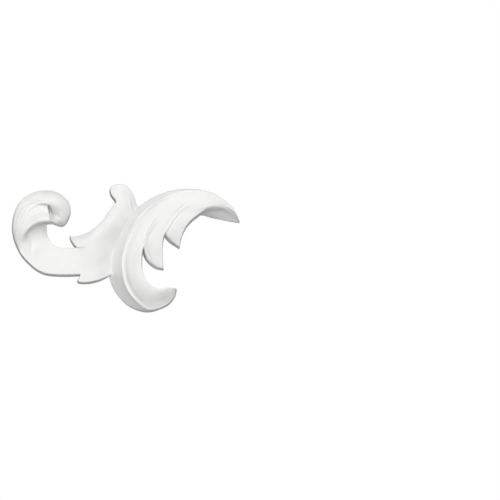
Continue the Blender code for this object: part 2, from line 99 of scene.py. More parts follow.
# Fine lines on the face: their points, and how many of their widths they are felt to either side. Then depth
# and width of the shallow flutes, height and width of the thumb's thin ridge, and of the fingers' raised
# margins and the arm's bead, and the height that none of them passes
LINE_POINTS = 160
LINE_REACH = 3
FLUTE_DEPTH = 0.0005
FLUTE_WIDTH = 0.0007
RIDGE_HEIGHT = 0.0005
RIDGE_WIDTH = 0.0006
MARGIN_HEIGHT = 0.0008
MARGIN_WIDTH = 0.0010
HIGHEST = 0.02158

# Flutes of the hood and of the pointed tip: their shares of the way between two rails, and their rows
HOOD_FLUTES = (0.22, 0.36, 0.50, 0.80)
HOOD_FLUTE_ROWS = (3.2, 8.4)
TIP_FLUTES = (0.25, 0.55, 0.8)
TIP_FLUTE_ROWS = (12.4, 15.2)

# Lines of a finger, as its share of the way across and its first row. All end at the finger's last row,
# but the outer flute, which ends this many rows before it
OUTER_FLUTE = (-0.05, 0.4)
OUTER_FLUTE_SHORT = 1.4
MARGIN = (0.08, 0.3)
INNER_FLUTE = (0.22, 1.2)
FIRST_FINGER_LAST = 5.6
SECOND_FINGER_LAST = 4.8

# The primer: gloss, size of the blotches with their two tones and where each is reached, roughness of the
# smoothest and the roughest blotches, and size, strength and height of the spray texture and of the waves
GLOSS = 0.35
BLOTCH_SCALE = 42
BLOTCH_DETAIL = 4
BLOTCH_TONES = ((0.35, (0.735, 0.735, 0.73, 1)), (0.68, (0.775, 0.773, 0.766, 1)))
SHEEN_SPAN = (0.3, 0.7)
SHEEN_ROUGHNESS = (0.50, 0.66)
SPRAY_SCALE = 2600
SPRAY_DETAIL = 2
SPRAY_STRENGTH = 0.10
SPRAY_HEIGHT = 0.00008
WAVE_SCALE = 260
WAVE_DETAIL = 3
WAVE_STRENGTH = 0.22
WAVE_HEIGHT = 0.0003

# The camera: where it looks, how far off it stands and how wide it sees
PHOTO_PIXELS = 500
PIXELS_PER_METRE = 1253.0
ORIGIN_PIXEL = (118.0, 250.0)
CAMERA_ELEVATION_DEGREES = -5.5
CAMERA_AZIMUTH_DEGREES = -2.0
CAMERA_LENS_MM = 500.0
SENSOR_MM = 36.0
NEAREST_SEEN = 0.05
FARTHEST_SEEN = 60

# The floor: its level, half its width, its tone and its roughness
FLOOR_LEVEL = -1.0
FLOOR_HALF = 4
FLOOR_TONE = 0.6
FLOOR_ROUGHNESS = 0.8

# Light: brightness of the sky from below and above, the upward parts of a direction where each is reached,
# and soft square lights with place, size and watts
SKY_LOW = 0.08
SKY_HIGH = 0.12
SKY_SPAN = (-0.6, 0.8)
LIGHTS = [
    ("above", (0.0, -1.6, 1.2), 0.9, 17),
    ("front", (0.0, -2.4, 0.3), 1.2, 36.5),
    ("right", (2.2, -0.3, 0.1), 0.9, 10),
    ("left", (-2.2, -0.3, 0.1), 0.9, 8),
    ("behind", (0.5, 1.8, 0.6), 1.2, 16),
]

UNIT = LENGTH / 100
DEEP = RELIEF / UNIT
DRAFT = math.tan(math.radians(DRAFT_DEGREES))

# C-scroll: outer edge, bead and inner edge, from the blunt lower end round to the pointed tip
C_OUTER = [
    (0, 25.9, -18.1), (1, 24.9, -21.2), (2, 21.4, -25), (3, 13.3, -27.7), (4, 5.2, -25.3), (5, -.8, -19.3),
    (6, -4, -11.5), (7, -4, -3), (8, -1, 6.5), (9, 4.61, 14.49), (10, 11.5, 20.45), (11, 20.52, 24.79),
    (12, 30.01, 26.37), (13, 39.64, 25.12), (14, 46.34, 21.74), (15, 50.78, 17.64), (16, 53.49, 12.35),
]
C_BEAD = [
    (0, 25.69, -17.84), (1, 24.35, -21.2), (2, 20.87, -24.86), (3, 13.73, -27), (4, 7.43, -22.82),
    (5, 3.65, -17.59), (6, 1.79, -11.08), (7, 1.68, -4.17), (8, 3.8, 3.99), (9, 8.07, 12.55),
    (10, 13.8, 18.3), (11, 21.39, 22.78), (12, 30.08, 24.8), (13, 39.33, 24.15), (14, 46, 20.99),
    (15, 50.65, 17.21), (16, 53.38, 12.27),
]
C_INNER = [
    (0, 25.56, -17.32), (1, 22, -17.12), (2, 17.68, -17.56), (3, 14.17, -15.85), (4, 11.86, -12.87),
    (5, 10.94, -9.76), (6, 10.67, -6.2), (7, 11, -2), (8, 12.6, 3), (9, 18, 7.6), (10, 24, 10.5),
    (11, 29, 12.8), (12, 34.3, 13.8), (13, 40.3, 17.6), (14, 45.5, 18), (15, 50, 16.1), (16, 53.3, 12.1),
]
C_ACROSS = (0, .3, .7, 1, 1.25, 1.5, 1.75, 1.9, 2)
C_LOFT = [
    (0, .5, .56, .61, .65, .71, .77, .82, .83, .81),
    (1, .42, .48, .54, .59, .68, .77, .83, .85, .83),
    (2, .27, .32, .37, .42, .54, .7, .82, .85, .81),
    (3, .23, .3, .38, .46, .6, .77, .89, .92, .88),
    (5, .08, .22, .44, .61, .78, .9, .96, .97, .94),
    (7, .06, .22, .46, .65, .79, .88, .95, .97, .94),
    (9, .4, .5, .64, .75, .8, .87, .87, .82, .75),
    (10, .64, .71, .8, .86, .89, .9, .88, .8, .73),
    (11, .76, .81, .87, .91, .92, .92, .89, .8, .72),
    (12, .78, .82, .87, .89, .91, .94, .92, .87, .82),
    (13, .74, .79, .83, .84, .86, .88, .89, .87, .84),
    (14, .62, .67, .71, .72, .74, .76, .76, .74, .72),
    (15, .42, .5, .54, .55, .56, .57, .57, .55, .53),
    (16, .24, .26, .28, .28, .28, .28, .28, .27, .26),
]
BEAD_SPAN = (2.7, 12.2)

# The two fingers that hang into the mouth of the scroll, from root to tip
FINGER_ACROSS = (0, .1, .3, .65, 1)
FIRST_LEFT = [
    (0, 20.02, 16.99), (1, 15.2, 11.5), (2, 12.2, 5.8), (3, 10.8, 1), (4, 11.2, -2.7), (5, 12.8, -5.75),
    (6, 16.1, -8.4), (7, 19.7, -9.3),
]
FIRST_RIGHT = [
    (0, 30, 17), (1, 25, 11), (2, 21.4, 7), (3, 20, 4), (4, 19.7, 0), (5, 19.77, -4), (6, 19.97, -7.5),
    (7, 20.07, -8.9),
]
FIRST_LOFT = [
    (0, .8, .82, .84, .84, .8),
    (1, .93, .95, .92, .9, .84),
    (2, .93, .95, .91, .88, .83),
    (3, .85, .89, .87, .84, .78),
    (4, .64, .71, .76, .76, .71),
    (5, .5, .58, .65, .66, .62),
    (6, .42, .49, .55, .57, .54),
    (7, .36, .42, .47, .49, .47),
]
SECOND_LEFT = [
    (0, 34.13, 21.82), (1, 28.51, 17.87), (2, 24, 13.6), (3, 21.2, 9.2), (4, 20.3, 5.9), (5, 22.4, 3),
    (6, 26.6, .25),
]
SECOND_RIGHT = [
    (0, 40, 18), (1, 36.2, 15), (2, 32.6, 12.3), (3, 29.8, 9), (4, 28.3, 5.8), (5, 27.5, 3.2),
    (6, 27.1, .6),
]
SECOND_LOFT = [
    (0, .76, .78, .8, .8, .78),
    (1, .85, .88, .89, .88, .84),
    (2, .82, .89, .91, .9, .86),
    (3, .72, .84, .87, .86, .82),
    (4, .62, .76, .8, .78, .75),
    (5, .46, .6, .68, .68, .65),
    (6, .38, .48, .56, .56, .54),
]

# Hollow underside of the pointed tip, from behind its lip down to its straight foot
TIP_TOP = [
    (0, 30, 15), (1, 35, 17.3), (2, 40, 19.4), (3, 45, 19.5), (4, 49.5, 17.4), (5, 53.3, 12.5),
]
TIP_FOOT = [(0, 32, 13), (1, 35.8, 14.7), (2, 40, 14.1), (3, 45, 13.2), (4, 49.5, 12.3), (5, 53.3, 11.7)]
TIP_ACROSS = (0, .28, .5, .75, 1)
TIP_LOFT = [
    (0, .94, .88, .68, .4, .06),
    (2, .92, .86, .64, .35, .06),
    (3, .84, .71, .46, .25, .06),
    (4, .56, .46, .32, .19, .07),
    (5, .2, .17, .14, .1, .08),
]

# Stem, middle leaf, thumb and lower lobe: the outline in runs that meet in corners, and the skin over it
BODY_OUTLINE = [
    [(-44.6, 2.5), (-43.1, -2), (-40.3, -5.6), (-37.1, -8.7), (-34, -10.7), (-30.9, -11.7),
     (-26.3, -12.1), (-20.1, -12.1), (-16.9, -11.9)],
    [(-16.9, -11.9), (-17.9, -14), (-17.6, -14.9), (-16.5, -15.3), (-13.1, -15.3), (-10.2, -14.8),
     (-7.5, -13.9), (-4.2, -12.2), (0, -9)],
    [(0, -9), (3, -2), (5, 6), (8.9, 14), (9.16, 18.29)],
    [(9.16, 18.29), (8.05, 19.84), (7.47, 21.96), (6.74, 23.83), (5.8, 25.58), (4.69, 27.01),
     (3.46, 28.01), (1.56, 28.49), (-.36, 28.48), (-2.22, 28.05), (-3.4, 27.1), (-3.85, 25.8),
     (-3.8, 24.6), (-3.3, 23.4), (-2.5, 22.1), (-1.7, 21.2), (-1.4, 20.2)],
    [(-1.4, 20.2), (-2.6, 18.6), (-4.3, 16.3), (-5.7, 14.2), (-7.17, 12.27), (-10.12, 9.3), (-13, 7.51),
     (-16.63, 5.96), (-19.59, 5.39), (-21.13, 5.96)],
    [(-21.13, 5.96), (-21.3, 4.8), (-20.6, 3), (-19.7, 1.5), (-18.7, .38)],
    [(-18.7, .38), (-22.02, .39), (-25.48, .6), (-28.11, 1.72), (-29.87, 3.98), (-31.08, 6.58),
     (-31.23, 9), (-32.06, 12.94)],
    [(-32.06, 12.94), (-36.98, 13.93), (-42, 10), (-44.6, 2.5)],
]
STEM_SKIN = [
    (-43, 0, .5), (-38, -6.5, .55), (-33, -9.5, .58), (-26, -11, .6), (-19, -10.5, .6), (-42, 4, .48),
    (-41.2, 1, .5), (-41, -2, .5), (-38, 2, .22), (-38, -1.5, .32), (-38.2, -4, .46), (-35, 1, .28),
    (-35, -4, .5), (-32, -4, .53), (-25, -5, .57), (-18, -4, .59), (-18, 0, .57), (-35, 7, .15),
    (-31.5, 8, .16), (-30, 3, .37), (-26, 1, .45), (-38, 11, .12),
]
LEAF_SKIN = [
    (-12, -5, .61), (-12, 2, .67), (-11.5, 6, .66), (-21, 5.4, .3), (-16, 6.1, .46), (-12, 8.1, .52),
    (-16, 3.6, .63), (-19.5, 3.4, .52), (-7, -4, .49), (-6, 3, .52), (-7, 8, .64), (-7.5, 11.4, .6),
    (-4, -2, .33), (-2.5, 4, .4), (-.5, 9, .55), (1, 13, .58), (-3, 14, .66), (-4.2, 15.6, .6), (0, 17, .64),
    (-1.5, 19, .6), (3, 10, .41), (2, 4, .06), (0, -2, -.08), (4, 0, -.4), (-5, -6, .3), (-1, -7, -.08),
    (5, 14, .51),
]
THUMB_SKIN = [
    (5, 17, .56), (1, 20, .64), (1.5, 25, .61), (-2.5, 25, .61), (6, 22, .5), (1, 28, .56), (7.5, 19, .43),
    (4.5, 27, .5), (-2.5, 27.5, .54),
]
LOBE_SKIN = [
    (-16.5, -14, .56), (-11, -13, .57), (-8, -12, .51), (-5, -12, .38), (-12, -9, .57),
]
LEAF_EDGE = [(-21.3, 4.8), (-20.6, 2.6), (-19.7, 1.1), (-18.3, .1), (-16.7, 0), (-13, .1)]

# Hood of the volute: outer edge, lip, and the line in the hollow where its underside ends
HOOD_OUTER = [
    (0, -38.8, -7.2), (1, -42, -3.8), (2, -44.4, .5), (3, -46, 5), (4, -46.5, 10.5), (5, -45, 17.5),
    (6, -41.43, 22.32), (7, -36.27, 24.95), (8, -33.9, 25.3), (9, -31.9, 25.5),
]
HOOD_LIP = [
    (0, -37.78, -5.65), (1, -40.82, -1.66), (2, -41.5, 2), (3, -40.9, 5), (4, -39.4, 7.5), (5, -37, 9.6),
    (6, -34.5, 10.7), (7, -32.2, 11.1), (8, -30, 11.2), (9, -28.1, 11.3),
]
HOOD_UNDER = [
    (0, -36.4, -4.2), (1, -38.2, -.6), (2, -38.2, 1.9), (3, -38.8, 3.8), (4, -38.3, 6.2), (5, -36, 8),
    (6, -34.1, 8.5), (7, -32.4, 8.7), (8, -30.8, 9.3), (9, -29, 10.4),
]
HOOD_ACROSS = (0, .25, .5, .65, .82, .93, 1, 1.15, 1.5, 2)
HOOD_LOFT = [
    (0, .34, .38, .41, .43, .43, .43, .42, .41, .38, .33),
    (1, .38, .43, .46, .47, .48, .48, .47, .45, .4, .33),
    (2, .44, .52, .56, .57, .57, .55, .52, .48, .38, .27),
    (3, .49, .62, .7, .73, .74, .72, .67, .56, .34, .16),
    (4, .52, .67, .77, .82, .87, .87, .81, .66, .36, .1),
    (5, .55, .7, .77, .79, .88, .91, .86, .7, .36, .07),
    (6, .6, .74, .76, .77, .9, .93, .88, .7, .34, .05),
    (7, .64, .77, .76, .75, .88, .91, .87, .66, .28, .05),
    (8, .64, .74, .71, .7, .84, .88, .84, .64, .3, .08),
    (9, .6, .64, .64, .66, .78, .83, .79, .6, .32, .12),
]

# Bulb that ends the volute: outer edge, and the crease it curls in to
BULB_OUTER = [
    (0, -44.39, 18.99), (1, -41.11, 22.58), (2, -36.09, 25.01), (3, -29.45, 25.44), (4, -25.07, 23.84),
    (5, -21.48, 20.27), (6, -20.8, 15.5), (7, -22.6, 11.2), (8, -24.6, 9.8), (9, -26.4, 10.2),
]
BULB_CREASE = [
    (0, -41.15, 15.96), (1, -38.75, 17.3), (2, -35.2, 18.4), (3, -31.4, 18.4), (4, -29.9, 17.6),
    (5, -29.5, 16.4), (6, -29.4, 15.1), (7, -29.6, 13.7), (8, -29.5, 12.5), (9, -29.3, 11.5),
]
BULB_ACROSS = (0, .25, .5, .75, .9, 1)
BULB_LOFT = [
    (0, .4, .48, .5, .46, .4, .36),
    (1, .46, .64, .71, .69, .64, .6),
    (2, .54, .72, .8, .82, .8, .76),
    (3, .58, .75, .84, .88, .87, .82),
    (4, .56, .74, .84, .87, .82, .75),
    (5, .5, .69, .8, .78, .69, .57),
    (6, .4, .57, .66, .61, .5, .39),
    (7, .27, .45, .54, .48, .39, .29),
    (8, .17, .33, .44, .4, .35, .29),
    (9, .13, .25, .35, .35, .33, .3),
]
BULB_EYE = (-26.3, 13.7, 0.8)
EYE_FLOOR = [[(-33, 13), (-28.8, 11), (-26, 10.4), (-22, 13), (-22, 20), (-28, 24), (-34, 20), (-33, 13)]]
EYE_FLOOR_HEIGHT = .30


def curve(knots, at):
    """Smooth curve through rows of knots whose first column is the place along it."""
    k = np.array(knots, float)
    x, p = k[:, 0], k[:, 1:]
    m = np.gradient(p, x, axis=0, edge_order=1)
    at = np.clip(np.asarray(at, float), x[0], x[-1])
    i = np.clip(np.searchsorted(x, at, side="right") - 1, 0, len(x) - 2)
    w = (x[i + 1] - x[i])[..., None]
    u = (at - x[i])[..., None] / w
    return ((2 * u**3 - 3 * u**2 + 1) * p[i] + (u**3 - 2 * u**2 + u) * w * m[i]
            + (3 * u**2 - 2 * u**3) * p[i + 1] + (u**3 - u**2) * w * m[i + 1])


def through(points, spacing=0.4):
    """Smooth line through bare points, placed by the root of their distance."""
    p = np.array(points, float)
    chord = np.maximum(np.hypot(*np.diff(p[:, :2], axis=0).T), 1e-6)
    at = np.concatenate([[0], np.cumsum(np.sqrt(chord))])
    n = max(int(chord.sum() / spacing), 2)
    return curve(np.column_stack([at, p]), np.linspace(0, at[-1], n))


def closed(runs):
    """Closed outline from smooth runs that meet in corners."""
    return np.vstack([through(run)[:-1] for run in runs])


def profile(places, values, t):
    """Curve through values at their places that never overshoots them."""
    x, y = np.array(places, float), np.array(values, float)
    d = np.diff(y) / np.diff(x)
    m = np.zeros_like(y)
    m[0], m[-1] = d[0], d[-1]
    same = d[:-1] * d[1:] > 0
    m[1:-1][same] = 2 * d[:-1][same] * d[1:][same] / (d[:-1] + d[1:])[same]
    t = np.clip(t, x[0], x[-1])
    i = np.clip(np.searchsorted(x, t, side="right") - 1, 0, len(x) - 2)
    w = x[i + 1] - x[i]
    u = (t - x[i]) / w
    return ((2 * u**3 - 3 * u**2 + 1) * y[i] + (u**3 - 2 * u**2 + u) * w * m[i]
            + (3 * u**2 - 2 * u**3) * y[i + 1] + (u**3 - u**2) * w * m[i + 1])


def step(x, low, high):
    """Smooth step from 0 to 1."""
    u = np.clip((x - low) / (high - low), 0, 1)
    return u * u * (3 - 2 * u)


def soft_max(a, b, blend):
    """The greater of two heights, blended where they are close."""
    h = np.clip(blend - np.abs(a - b), 0, None) / blend
    return np.maximum(a, b) + h**2 * blend / 4


def creased(a, b, depth):
    """The greater of two heights, cut in by this depth where they meet."""
    return np.maximum(a, b) - depth * np.clip(1 - np.abs(a - b) / (4 * depth), 0, None)**2


class Sheet:
    """A grid of places over the ornament, x rising along columns and z along rows."""

    def __init__(self, x0, x1, z0, z1, pitch):
        self.x = np.arange(x0, x1 + pitch / 2, pitch)
        self.z = np.arange(z0, z1 + pitch / 2, pitch)
        self.pitch = pitch
        self.X, self.Z = np.meshgrid(self.x, self.z)

    def touched(self, low, high):
        """Pairs of an item and a cell, for every cell within each item's box."""
        wide = int(np.ceil((high - low).max() / self.pitch)) + 2
        span = np.arange(wide)
        col = np.floor((low[:, 0] - self.x[0]) / self.pitch).astype(int)[:, None, None] + span[None, None, :]
        row = np.floor((low[:, 1] - self.z[0]) / self.pitch).astype(int)[:, None, None] + span[None, :, None]
        col, row = np.broadcast_arrays(col, row)
        item = np.broadcast_to(np.arange(len(low))[:, None, None], col.shape)
        fits = (row >= 0) & (row < len(self.z)) & (col >= 0) & (col < len(self.x))
        return item[fits], row[fits], col[fits]

    def inside(self, line):
        """Which places lie inside a closed outline."""
        flips = np.zeros((len(self.z), len(self.x) + 1), int)
        for (ax, az), (bx, bz) in zip(line, np.roll(line, -1, 0)):
            rows = np.where((self.z >= min(az, bz)) & (self.z < max(az, bz)))[0]
            if len(rows):
                cross = ax + (self.z[rows] - az) * (bx - ax) / (bz - az)
                flips[rows, np.searchsorted(self.x, cross)] += 1
        return np.cumsum(flips, 1)[:, :-1] % 2 == 1

    def near(self, line, reach, loop=True):
        """Distance to a line, its side and the place along it, for the cells within reach."""
        a = line[:, :2]
        b = np.roll(a, -1, 0)
        if not loop:
            a, b = a[:-1], b[:-1]
        ab = b - a
        squared = np.maximum((ab**2).sum(1), 1e-12)
        i, row, col = self.touched(np.minimum(a, b) - reach, np.maximum(a, b) + reach)
        px, pz = self.x[col] - a[i, 0], self.z[row] - a[i, 1]
        u = np.clip((px * ab[i, 0] + pz * ab[i, 1]) / squared[i], 0, 1)
        d = np.hypot(px - u * ab[i, 0], pz - u * ab[i, 1])
        turn = ab[i, 0] * pz - ab[i, 1] * px
        nearest_last = np.argsort(-d, kind="stable")
        cell = (row * len(self.x) + col)[nearest_last]
        out = np.full(self.X.size, float(reach))
        out[cell] = d[nearest_last]
        side = np.ones(self.X.size)
        side[cell] = np.where(turn >= 0, 1, -1)[nearest_last]
        place = np.zeros(self.X.size)
        place[cell] = ((i + u) / len(a))[nearest_last]
        shape = self.X.shape
        return np.minimum(out, reach).reshape(shape), side.reshape(shape), place.reshape(shape)


def wall(sheet, face, outline, radius):
    """The face cut to an outline, its rim rounded and a drafted wall below it."""
    reach = DEEP * DRAFT + 0.6
    d, _, _ = sheet.near(outline, reach)
    d = np.where(sheet.inside(outline), d, -d)
    e = d - face * DRAFT
    over = np.sqrt(np.maximum(radius**2 - np.clip(radius - e, 0, radius)**2, 0)) - radius
    height = np.where(e > 0, face + over, face - radius + e / DRAFT)
    return np.where(d <= -reach + 0.1, -2 * DEEP, np.maximum(height, -2 * DEEP))


def spread(face, pitch, reach=1.8):
    """Carries the face's edge values outwards, so that the wall below the rim is whole."""
    known = ~np.isnan(face)
    face = np.where(known, face, 0.0)
    for _ in range(int(reach / pitch) + 1):
        total = np.zeros(face.shape)
        count = np.zeros(face.shape)
        for way in ((1, 0), (-1, 0), (0, 1), (0, -1)):
            there = np.roll(known, way, (0, 1))
            total += np.where(there, np.roll(face, way, (0, 1)), 0)
            count += there
        fresh = ~known & (count > 0)
        face[fresh] = total[fresh] / count[fresh]
        known |= fresh
    return face


def ribbon(sheet, rails, across, loft, radius, rows=420, columns=22):
    """A strip lofted over rails. Rails have rows of (place along, x, z). Across it the first rail is 0, the
    next 1 and so on, and each row of the loft has the place along and the height at every place across."""
    s = np.linspace(0, loft[-1][0], rows)
    lines = np.array([curve(rail, s) for rail in rails])
    top = len(rails) - 1
    t = np.linspace(0, top, columns * top + 1)
    k = np.minimum(t.astype(int), top - 1)
    f = (t - k)[:, None, None]
    place = lines[k] * (1 - f) + lines[k + 1] * f
    sections = np.array([profile(across, row[1:], t) for row in loft])
    height = curve(np.column_stack([[row[0] for row in loft], sections]), s).T * DEEP
    outline = np.vstack([lines[0][:-1], np.linspace(lines[0][-1], lines[-1][-1], 8)[:-1],
                         lines[-1][::-1][:-1], np.linspace(lines[-1][0], lines[0][0], 8)[:-1]])
    corners = {}
    for i in (0, 1):
        for j in (0, 1):
            cut = (slice(i, place.shape[0] - 1 + i), slice(j, place.shape[1] - 1 + j))
            corners[i, j] = (place[cut].reshape(-1, 2), height[cut].ravel())
    face = np.full(sheet.X.shape, np.nan)
    for three in (((0, 0), (0, 1), (1, 1)), ((0, 0), (1, 1), (1, 0))):
        (q0, h0), (q1, h1), (q2, h2) = (corners[c] for c in three)
        e1, e2 = q1 - q0, q2 - q0
        det = e1[:, 0] * e2[:, 1] - e1[:, 1] * e2[:, 0]
        det = np.where(np.abs(det) < 1e-12, 1e-12, det)
        i, row, col = sheet.touched(np.minimum(np.minimum(q0, q1), q2), np.maximum(np.maximum(q0, q1), q2))
        px, pz = sheet.x[col] - q0[i, 0], sheet.z[row] - q0[i, 1]
        u = (px * e2[i, 1] - pz * e2[i, 0]) / det[i]
        v = (e1[i, 0] * pz - e1[i, 1] * px) / det[i]
        hit = (u >= -1e-6) & (v >= -1e-6) & (u + v <= 1 + 1e-6)
        face[row[hit], col[hit]] = (h0[i] * (1 - u - v) + h1[i] * u + h2[i] * v)[hit]
    return wall(sheet, spread(face, sheet.pitch), outline, radius)


def skin(points, X, Z):
    """Thin-plate surface through (x, z, height) points."""
    p = np.array(points, float)
    n = len(p)

    def kernel(squared):
        return squared * np.log(np.maximum(squared, 1e-9))

    a = np.zeros((n + 3, n + 3))
    a[:n, :n] = kernel((p[:, None, 0] - p[None, :, 0])**2 + (p[:, None, 1] - p[None, :, 1])**2)
    a[:n, n] = 1
    a[:n, n + 1:] = p[:, :2]
    a[n:, :n] = a[:n, n:].T
    w = np.linalg.solve(a, np.concatenate([p[:, 2], [0, 0, 0]]))
    out = w[n] + w[n + 1] * X + w[n + 2] * Z
    for i in range(n):
        out = out + w[i] * kernel((X - p[i, 0])**2 + (Z - p[i, 1])**2)
    return out


def beside(sheet, line, reach):
    """Signed distance from an open line, positive on its left, the place along it, and where that holds."""
    d, side, place = sheet.near(line, reach, loop=False)
    return d * side, place, d < reach * 0.999


def claw(sheet):
    """The C-scroll with its bead and fingers, and the hollow underside of its tip."""
    radius = RIM_RADIUS / UNIT
    body = ribbon(sheet, [C_OUTER, C_BEAD, C_INNER], C_ACROSS, C_LOFT, radius)
    n, place, held = beside(sheet, curve(C_BEAD, np.linspace(*BEAD_SPAN, 300)), 3)
    fade = step(place, 0, .25) * (1 - step(place, .52, .86))
    bead = BEAD_HEIGHT * np.exp(-(n * UNIT / BEAD_WIDTH)**2)
    groove = GROOVE_DEPTH * np.exp(-((n * UNIT + GROOVE_OFFSET) / GROOVE_WIDTH)**2)
    body = body + np.where(held, (bead - groove) / UNIT * fade, 0)
    radius = FINGER_RIM_RADIUS / UNIT
    first = ribbon(sheet, [FIRST_LEFT, FIRST_RIGHT], FINGER_ACROSS, FIRST_LOFT, radius)
    second = ribbon(sheet, [SECOND_LEFT, SECOND_RIGHT], FINGER_ACROSS, SECOND_LOFT, radius)
    tip = ribbon(sheet, [TIP_TOP, TIP_FOOT], TIP_ACROSS, TIP_LOFT, radius / 2)
    blend = FINGER_BLEND / UNIT
    return np.maximum(soft_max(soft_max(body, first, blend), second, blend), tip)


def middle(sheet):
    """Stem, middle leaf, thumb and lower lobe, with the leaf's thin edge lying over the stem."""
    n, place, held = beside(sheet, through(LEAF_EDGE), 6)
    over_stem = step(n, 0, .3) * np.exp(-np.maximum(n, 0) / 4) * (1 - step(place, .45, 1))
    face = skin(STEM_SKIN + LEAF_SKIN + THUMB_SKIN + LOBE_SKIN, sheet.X, sheet.Z) * DEEP
    face = face + np.where(held, LEAF_STEP / UNIT * over_stem, 0)
    return wall(sheet, face, closed(BODY_OUTLINE), RIM_RADIUS / UNIT)


def volute(sheet):
    """The hood, the bulb it ends in, and the floor of the crease between them."""
    radius = RIM_RADIUS / UNIT
    hood = ribbon(sheet, [HOOD_OUTER, HOOD_LIP, HOOD_UNDER], HOOD_ACROSS, HOOD_LOFT, radius)
    bulb = ribbon(sheet, [BULB_OUTER, BULB_CREASE], BULB_ACROSS, BULB_LOFT, radius)
    x, z, wide = BULB_EYE
    bulb = bulb - EYE_DENT / UNIT * np.exp(-((sheet.X - x)**2 + (sheet.Z - z)**2) / wide**2)
    floor = wall(sheet, np.full(sheet.X.shape, EYE_FLOOR_HEIGHT * DEEP), closed(EYE_FLOOR), radius)
    return soft_max(soft_max(hood, bulb, CREASE_BLEND / UNIT), floor, CREASE_BLEND / UNIT)


def relief(pitch):
    """The sheet and the height of the face over it, both in hundredths of the length."""
    sheet = Sheet(-49, 56, -30, 31, pitch)
    lobes = creased(claw(sheet), middle(sheet), VALLEY_CUT / UNIT)
    return sheet, soft_max(lobes, volute(sheet), HOLLOW_BLEND / UNIT)


# Fine lines on the face, besides those that run along the rails
BEAD_RIDGE = [(7.4, 10.2), (9.6, 12.7), (12.5, 15.9), (16.1, 19.1), (20.5, 21.9), (25.5, 23.7)]
THUMB_RIDGE = [(4.9, 22.5), (5.2, 19.6), (6, 16.6), (7, 13.2)]


def between(first, second, share, start, end):
    """A line that runs between two rails, from one row to another."""
    rows = np.linspace(start, end, LINE_POINTS)
    return curve(first, rows) * (1 - share) + curve(second, rows) * share


def fading(place):
    """Whole along the middle of a line, and fading out towards both its ends."""
    return step(place, 0, WHOLE_FROM) * (1 - step(place, WHOLE_TO, 1))


def scored(sheet, height):
    """The heights with their fine flutes and thin ridges, kept below the solid's highest point."""
    flutes = [between(HOOD_OUTER, HOOD_LIP, share, *HOOD_FLUTE_ROWS) for share in HOOD_FLUTES]
    flutes += [between(C_BEAD, C_INNER, share, *TIP_FLUTE_ROWS) for share in TIP_FLUTES]
    lines = [(through(THUMB_RIDGE), RIDGE_HEIGHT, RIDGE_WIDTH)]
    lines.append((through(BEAD_RIDGE), MARGIN_HEIGHT, MARGIN_WIDTH))
    fingers = ((FIRST_LEFT, FIRST_RIGHT, FIRST_FINGER_LAST), (SECOND_LEFT, SECOND_RIGHT, SECOND_FINGER_LAST))
    for left, right, last in fingers:
        flutes.append(between(left, right, *OUTER_FLUTE, last - OUTER_FLUTE_SHORT))
        lines.append((between(left, right, *MARGIN, last), MARGIN_HEIGHT, MARGIN_WIDTH))
        flutes.append(between(left, right, *INNER_FLUTE, last))
    lines += [(line, -FLUTE_DEPTH, FLUTE_WIDTH) for line in flutes]
    for line, rise, width in lines:
        n, place, held = beside(sheet, line, LINE_REACH * width / UNIT)
        raised = rise / UNIT * np.exp(-(n * UNIT / width)**2) * fading(place)
        height = height + np.where(held, raised, 0)
    return np.minimum(height, HIGHEST / UNIT)


def undercut(sheet, height, line, depth, reach):
    """Shifts of the low places beside a lip, which carry the foot of its wall back under the edge."""
    n, place, held = beside(sheet, line, reach)
    along_z, along_x = np.gradient(n, sheet.pitch)
    low = 1 - step(height / DEEP, *UNDERCUT_SHARES)
    near = step(n, -reach * UNDERCUT_START, UNDERCUT_WHOLE) * (1 - step(n, *UNDERCUT_BEHIND)) * held
    amount = depth / UNIT * low * near * fading(place)
    size = np.maximum(np.hypot(along_x, along_z), 1e-6)
    return amount * along_x / size, amount * along_z / size


def slipped_under(sheet, height):
    """Places of the grid with the hollows carried back under the two lips."""
    hood_lip = curve(HOOD_LIP, np.linspace(*HOOD_UNDERCUT_ROWS, LIP_POINTS))
    tip_lip = curve(C_INNER, np.linspace(*TIP_UNDERCUT_ROWS, LIP_POINTS))
    hood = undercut(sheet, height, hood_lip, HOOD_UNDERCUT, HOOD_UNDERCUT_REACH)
    tip = undercut(sheet, height, tip_lip, TIP_UNDERCUT, TIP_UNDERCUT_REACH)
    return sheet.X + hood[0] + tip[0], sheet.Z + hood[1] + tip[1]


def face_mesh(name, sheet, height):
    """Open mesh of the face with its undercuts, cut off at the back plane."""
    x, z = slipped_under(sheet, height)
    mesh = bpy.data.meshes.new(name)
    index = np.arange(height.size).reshape(height.shape)
    a, b = slice(None, -1), slice(1, None)
    corners = ((a, a), (a, b), (b, b), (b, a))
    cells = np.array([height[corner] for corner in corners])
    keep = (cells.min(0) > -1.5 * DEEP) & (cells.max(0) > 0)
    quads = np.stack([index[corner][keep] for corner in corners], 1)
    used = np.unique(quads)
    renumber = np.zeros(height.size, int)
    renumber[used] = np.arange(len(used))
    verts = np.column_stack([x.ravel()[used], -height.ravel()[used], z.ravel()[used]]) * UNIT
    mesh.from_pydata(verts.tolist(), [], renumber[quads].tolist())
    bm = bmesh.new()
    bm.from_mesh(mesh)
    geometry = bm.verts[:] + bm.edges[:] + bm.faces[:]
    bmesh.ops.bisect_plane(bm, geom=geometry, dist=NO_LENGTH, plane_co=(0, 0, 0), plane_no=(0, 1, 0),
                           clear_outer=True)
    bmesh.ops.triangulate(bm, faces=bm.faces)
    bm.to_mesh(mesh)
    bm.free()
    return mesh


def applied(obj):
    """Mesh of the object with its modifiers applied, which are then cleared."""
    bpy.context.view_layer.update()
    mesh = bpy.data.meshes.new_from_object(obj.evaluated_get(bpy.context.evaluated_depsgraph_get()))
    obj.modifiers.clear()
    return mesh


